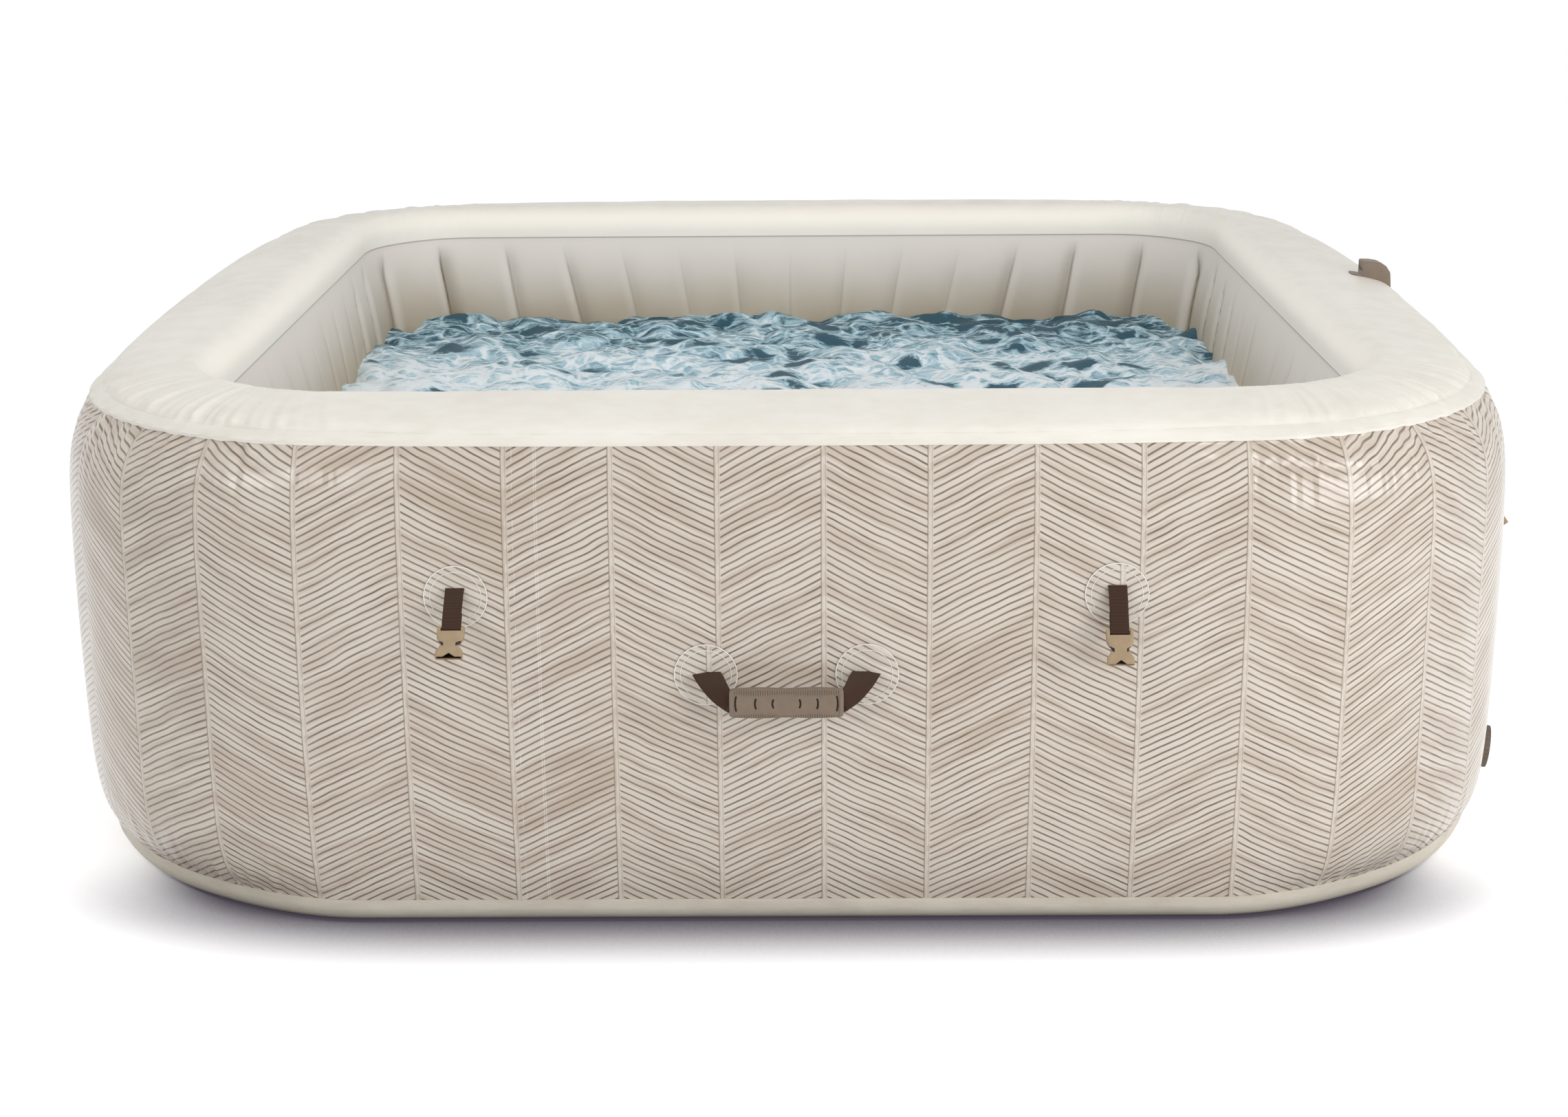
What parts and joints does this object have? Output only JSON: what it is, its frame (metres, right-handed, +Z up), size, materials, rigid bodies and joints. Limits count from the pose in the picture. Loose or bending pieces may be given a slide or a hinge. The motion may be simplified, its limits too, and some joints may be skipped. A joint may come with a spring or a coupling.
{
  "type": "inflatable hot tub",
  "caption": "Square inflatable hot tub with a printed wall, padded rim, cover straps with buckle sockets, carrying handles, capped water and air ports, a drain and a valve.",
  "frame": {"origin": "centre of the underside of the bottom sheet, on the floor", "axes": "+Z up, the front with the handle faces -Y, the side with the ports faces +X"},
  "size_m": [2.206, 2.2559, 0.7312],
  "materials": {
    "brown_webbing": "woven webbing",
    "clear_vinyl": "clear vinyl, welded",
    "cream_vinyl": "smooth vinyl with a faint grain",
    "dark_rubber": "moulded",
    "greige_vinyl": "smooth vinyl",
    "grey_plastic": "moulded",
    "printed_vinyl": "vinyl with a printed herringbone",
    "tan_plastic": "moulded",
    "taupe_plastic": "moulded",
    "web_fabric": "coated mesh"
  },
  "bodies": {
    "tub": {"air_port": "grey_plastic", "air_tube": "clear_vinyl", "base_band": "cream_vinyl", "bubble_ring": "greige_vinyl", "drain_port": "taupe_plastic", "drain_seal": "dark_rubber", "floor_sheet": "greige_vinyl", "handle_patch_back_left": "clear_vinyl", "handle_patch_back_right": "clear_vinyl", "handle_patch_front_left": "clear_vinyl", "handle_patch_front_right": "clear_vinyl", "inlet_port": "grey_plastic", "inner_wall": "greige_vinyl", "outer_wall": "printed_vinyl", "outlet_port": "grey_plastic", "rim": "cream_vinyl", "rim_dock": "taupe_plastic", "strap_patch_back_left": "clear_vinyl", "strap_patch_back_right": "clear_vinyl", "strap_patch_front_left": "clear_vinyl", "strap_patch_front_right": "clear_vinyl", "strap_patch_left_front": "clear_vinyl", "strap_patch_left_rear": "clear_vinyl", "strap_patch_right_front": "clear_vinyl", "strap_patch_right_rear": "clear_vinyl", "tension_web": "web_fabric", "valve_body": "grey_plastic"},
    "strap_back_left": {"strap_webbing_back_left": "brown_webbing"},
    "buckle_back_left": {"strap_buckle_back_left": "tan_plastic"},
    "strap_back_right": {"strap_webbing_back_right": "brown_webbing"},
    "buckle_back_right": {"strap_buckle_back_right": "tan_plastic"},
    "strap_front_left": {"strap_webbing_front_left": "brown_webbing"},
    "buckle_front_left": {"strap_buckle_front_left": "tan_plastic"},
    "strap_front_right": {"strap_webbing_front_right": "brown_webbing"},
    "buckle_front_right": {"strap_buckle_front_right": "tan_plastic"},
    "strap_left_front": {"strap_webbing_left_front": "brown_webbing"},
    "buckle_left_front": {"strap_buckle_left_front": "tan_plastic"},
    "strap_left_rear": {"strap_webbing_left_rear": "brown_webbing"},
    "buckle_left_rear": {"strap_buckle_left_rear": "tan_plastic"},
    "strap_right_front": {"strap_webbing_right_front": "brown_webbing"},
    "buckle_right_front": {"strap_buckle_right_front": "tan_plastic"},
    "strap_right_rear": {"strap_webbing_right_rear": "brown_webbing"},
    "buckle_right_rear": {"strap_buckle_right_rear": "tan_plastic"},
    "handle_front": {"handle_webbing_front": "brown_webbing", "handle_grip_front": "taupe_plastic"},
    "handle_back": {"handle_webbing_back": "brown_webbing", "handle_grip_back": "taupe_plastic"},
    "inlet_cap": {"inlet_cap": "grey_plastic"},
    "outlet_cap": {"outlet_cap": "grey_plastic"},
    "air_cap": {"air_cap": "grey_plastic"},
    "drain_cap": {"drain_cap": "taupe_plastic"},
    "valve_cap": {"valve_cap": "grey_plastic"},
    "inlet_strainer": {"inlet_strainer": "grey_plastic"},
    "outlet_strainer": {"outlet_strainer": "grey_plastic"},
    "drain_plug": {"drain_plug": "dark_rubber"},
    "valve_stem": {"valve_stem": "grey_plastic"}
  },
  "joints": [
    {"name": "strap_swing_back_left", "type": "hinge", "parent": "tub", "child": "strap_back_left", "pos_m": [-0.437, 1.05537, 0.48717], "axis": [1, 0, 0], "range_deg": [-7, 155]},
    {"name": "buckle_tilt_back_left", "type": "hinge", "parent": "strap_back_left", "child": "buckle_back_left", "pos_m": [-0.437, 1.06903, 0.42669], "axis": [-1, 0, 0], "range_deg": [-45, 18]},
    {"name": "strap_swing_back_right", "type": "hinge", "parent": "tub", "child": "strap_back_right", "pos_m": [0.437, 1.05537, 0.48717], "axis": [1, 0, 0], "range_deg": [-7, 155]},
    {"name": "buckle_tilt_back_right", "type": "hinge", "parent": "strap_back_right", "child": "buckle_back_right", "pos_m": [0.437, 1.06903, 0.42669], "axis": [-1, 0, 0], "range_deg": [-45, 18]},
    {"name": "strap_swing_front_left", "type": "hinge", "parent": "tub", "child": "strap_front_left", "pos_m": [-0.437, -1.05537, 0.48717], "axis": [-1, 0, 0], "range_deg": [-45, 117]},
    {"name": "buckle_tilt_front_left", "type": "hinge", "parent": "strap_front_left", "child": "buckle_front_left", "pos_m": [-0.437, -1.10336, 0.44792], "axis": [1, 0, 0], "range_deg": [-45, 45]},
    {"name": "strap_swing_front_right", "type": "hinge", "parent": "tub", "child": "strap_front_right", "pos_m": [0.437, -1.05537, 0.48717], "axis": [-1, 0, 0], "range_deg": [-27, 135]},
    {"name": "buckle_tilt_front_right", "type": "hinge", "parent": "strap_front_right", "child": "buckle_front_right", "pos_m": [0.437, -1.08889, 0.43501], "axis": [1, 0, 0], "range_deg": [-45, 45]},
    {"name": "strap_swing_left_front", "type": "hinge", "parent": "tub", "child": "strap_left_front", "pos_m": [-1.05537, -0.437, 0.48717], "axis": [0, 1, 0], "range_deg": [-7, 155]},
    {"name": "buckle_tilt_left_front", "type": "hinge", "parent": "strap_left_front", "child": "buckle_left_front", "pos_m": [-1.06903, -0.437, 0.42669], "axis": [0, -1, 0], "range_deg": [-45, 18]},
    {"name": "strap_swing_left_rear", "type": "hinge", "parent": "tub", "child": "strap_left_rear", "pos_m": [-1.05537, 0.437, 0.48717], "axis": [0, 1, 0], "range_deg": [-7, 155]},
    {"name": "buckle_tilt_left_rear", "type": "hinge", "parent": "strap_left_rear", "child": "buckle_left_rear", "pos_m": [-1.06903, 0.437, 0.42669], "axis": [0, -1, 0], "range_deg": [-45, 18]},
    {"name": "strap_swing_right_front", "type": "hinge", "parent": "tub", "child": "strap_right_front", "pos_m": [1.05537, -0.437, 0.48717], "axis": [0, -1, 0], "range_deg": [-31, 131]},
    {"name": "buckle_tilt_right_front", "type": "hinge", "parent": "strap_right_front", "child": "buckle_right_front", "pos_m": [1.09244, -0.437, 0.43748], "axis": [0, 1, 0], "range_deg": [-45, 45]},
    {"name": "strap_swing_right_rear", "type": "hinge", "parent": "tub", "child": "strap_right_rear", "pos_m": [1.05537, 0.437, 0.48717], "axis": [0, -1, 0], "range_deg": [-7, 155]},
    {"name": "buckle_tilt_right_rear", "type": "hinge", "parent": "strap_right_rear", "child": "buckle_right_rear", "pos_m": [1.06903, 0.437, 0.42669], "axis": [0, 1, 0], "range_deg": [-45, 18]},
    {"name": "handle_swing_front", "type": "hinge", "parent": "tub", "child": "handle_front", "pos_m": [0, -1.05875, 0.37102], "axis": [-1, 0, 0], "range_deg": [-40, 80]},
    {"name": "handle_swing_back", "type": "hinge", "parent": "tub", "child": "handle_back", "pos_m": [0, 1.05875, 0.37102], "axis": [1, 0, 0], "range_deg": [-40, 80]},
    {"name": "inlet_cap_turn", "type": "hinge", "parent": "tub", "child": "inlet_cap", "pos_m": [1.06495, -0.15, 0.33794], "axis": [1, 0, -0.0062], "range_deg": [0, 540]},
    {"name": "outlet_cap_turn", "type": "hinge", "parent": "tub", "child": "outlet_cap", "pos_m": [1.06495, 0, 0.33794], "axis": [1, 0, -0.0062], "range_deg": [0, 540]},
    {"name": "air_cap_turn", "type": "hinge", "parent": "tub", "child": "air_cap", "pos_m": [1.06495, 0.15, 0.33794], "axis": [1, 0, -0.0062], "range_deg": [0, 540]},
    {"name": "drain_cap_turn", "type": "hinge", "parent": "tub", "child": "drain_cap", "pos_m": [1.04668, -0.66641, 0.11407], "axis": [0.9805, -0.1729, -0.093], "range_deg": [0, 540]},
    {"name": "valve_cap_turn", "type": "hinge", "parent": "tub", "child": "valve_cap", "pos_m": [1.06198, 0.39, 0.22952], "axis": [0.9988, 0, -0.0484], "range_deg": [0, 540]},
    {"name": "inlet_strainer_turn", "type": "hinge", "parent": "tub", "child": "inlet_strainer", "pos_m": [0.78495, -0.15, 0.33969], "axis": [-1, 0, 0.0062], "range_deg": [0, 90]},
    {"name": "outlet_strainer_turn", "type": "hinge", "parent": "tub", "child": "outlet_strainer", "pos_m": [0.78495, 0, 0.33969], "axis": [-1, 0, 0.0062], "range_deg": [0, 90]},
    {"name": "drain_plug_pull", "type": "slide", "parent": "tub", "child": "drain_plug", "axis": [-0.9805, 0.1729, 0.093], "range_m": [0, 0.03]},
    {"name": "valve_stem_press", "type": "slide", "parent": "tub", "child": "valve_stem", "axis": [-0.9988, 0, 0.0484], "range_m": [0, 0.006], "stiffness_N_per_m": 400}
  ]
}
